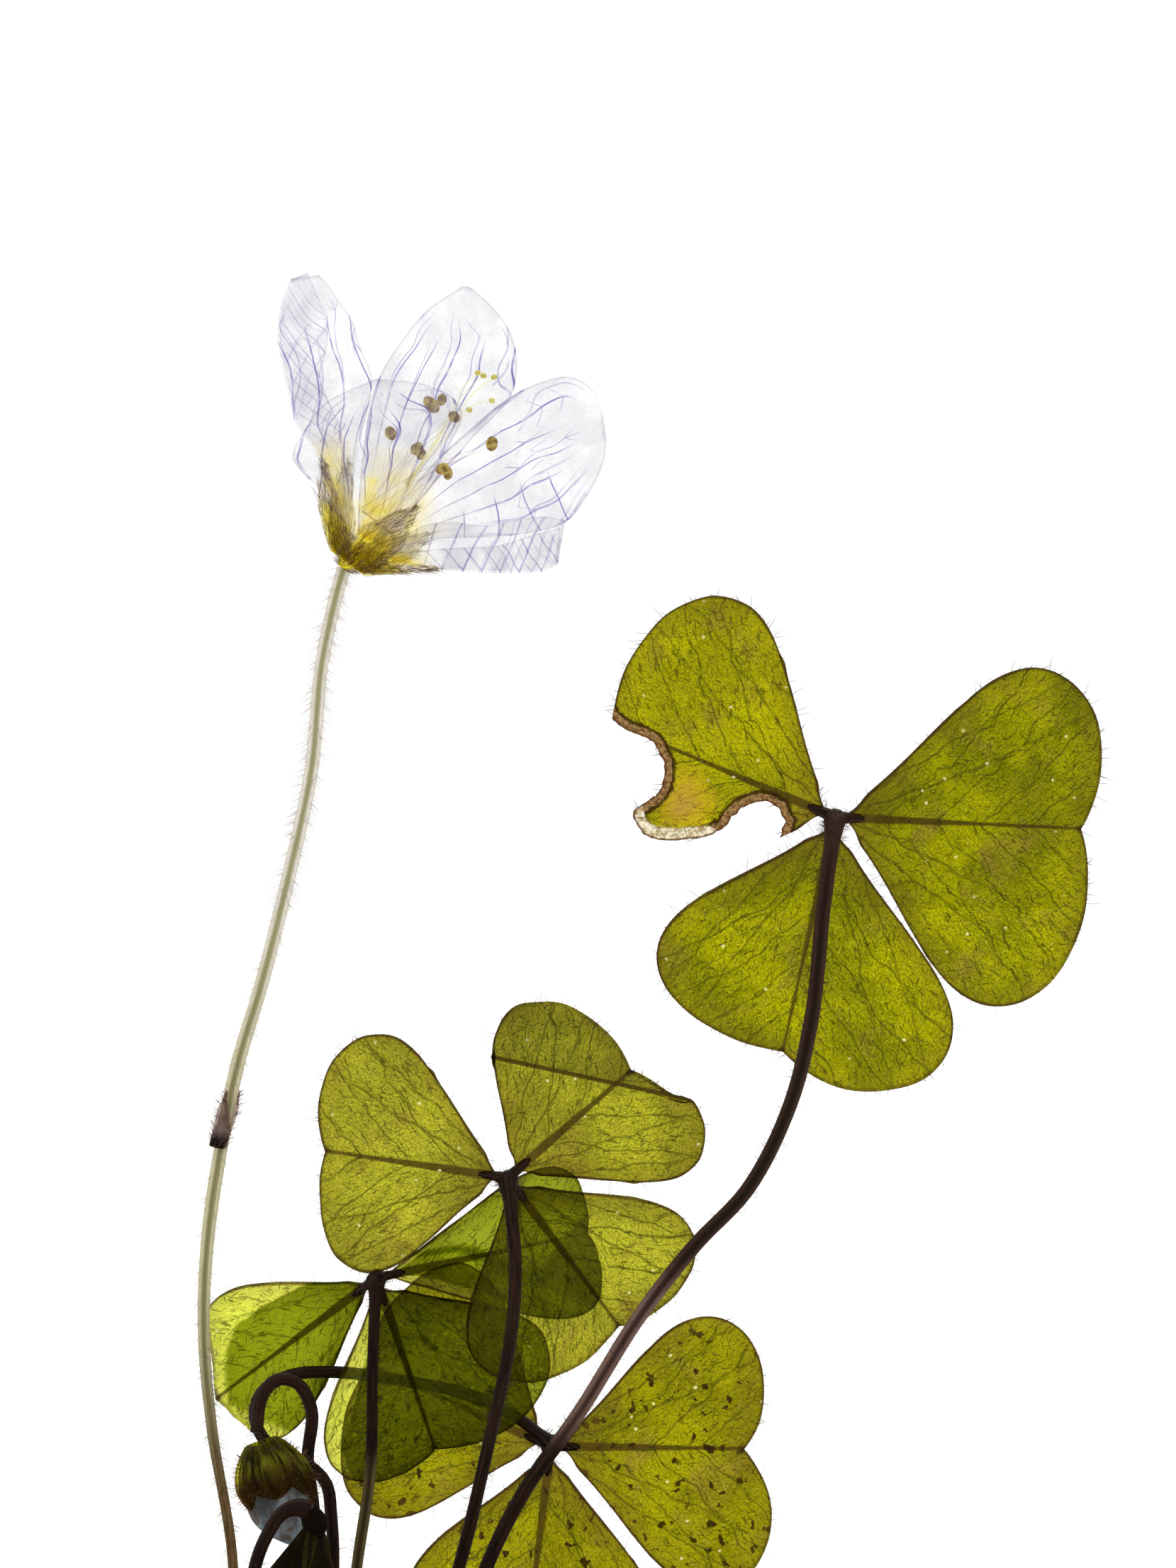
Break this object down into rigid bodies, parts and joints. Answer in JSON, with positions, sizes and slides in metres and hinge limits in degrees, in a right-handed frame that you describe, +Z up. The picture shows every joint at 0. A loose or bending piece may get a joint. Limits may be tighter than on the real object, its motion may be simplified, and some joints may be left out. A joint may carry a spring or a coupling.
{
  "type": "potted wood sorrel",
  "caption": "Small flowering wood sorrel with three-part leaves, an open flower, a nodding bud and a creeping rhizome, growing in a plain terracotta pot.",
  "frame": {"origin": "centre of the pot's underside", "axes": "+Z up, +X to the right and -Y towards the viewer, seen from the front as in the picture"},
  "size_m": [0.07, 0.07, 0.1429],
  "materials": {
    "terracotta": "unglazed, matt",
    "soil": "crumbly potting soil",
    "rhizome": "fleshy, scaly, matt",
    "petiole": "finely hairy stem",
    "leaf": "thin leaf that lets light through",
    "young_leaf": "folded young leaf, hairy",
    "flower_stalk": "pale, finely hairy stem",
    "calyx": "hairy sepals",
    "petal": "thin petal that lets light through",
    "stamen": "soft, matt",
    "pistil": "soft, matt",
    "bud_petal": "rolled petals"
  },
  "bodies": {
    "root": {"pot": "terracotta", "soil": "soil", "rhizome": "rhizome", "petiole_1": "petiole", "petiole_2": "petiole", "petiole_3": "petiole", "petiole_4": "petiole", "young_leaf_petiole": "petiole", "bud_stalk": "petiole", "leaf_1_leaflet_right": "leaf", "leaf_1_leaflet_lower": "leaf", "leaf_1_leaflet_left": "leaf", "leaf_2_leaflet_left": "leaf", "leaf_2_leaflet_upper": "leaf", "leaf_2_leaflet_lower": "leaf", "leaf_3_leaflet_left": "leaf", "leaf_3_leaflet_lower": "leaf", "leaf_3_leaflet_right": "leaf", "leaf_4_leaflet_right": "leaf", "leaf_4_leaflet_lower": "leaf", "leaf_4_leaflet_left": "leaf", "young_leaf_leaflets": "young_leaf", "flower_stalk": "flower_stalk", "flower_calyx": "calyx", "flower_corolla": "petal", "flower_stamens": "stamen", "flower_pistil": "pistil", "bud_calyx": "calyx", "bud_petals": "bud_petal"}
  },
  "joints": []
}
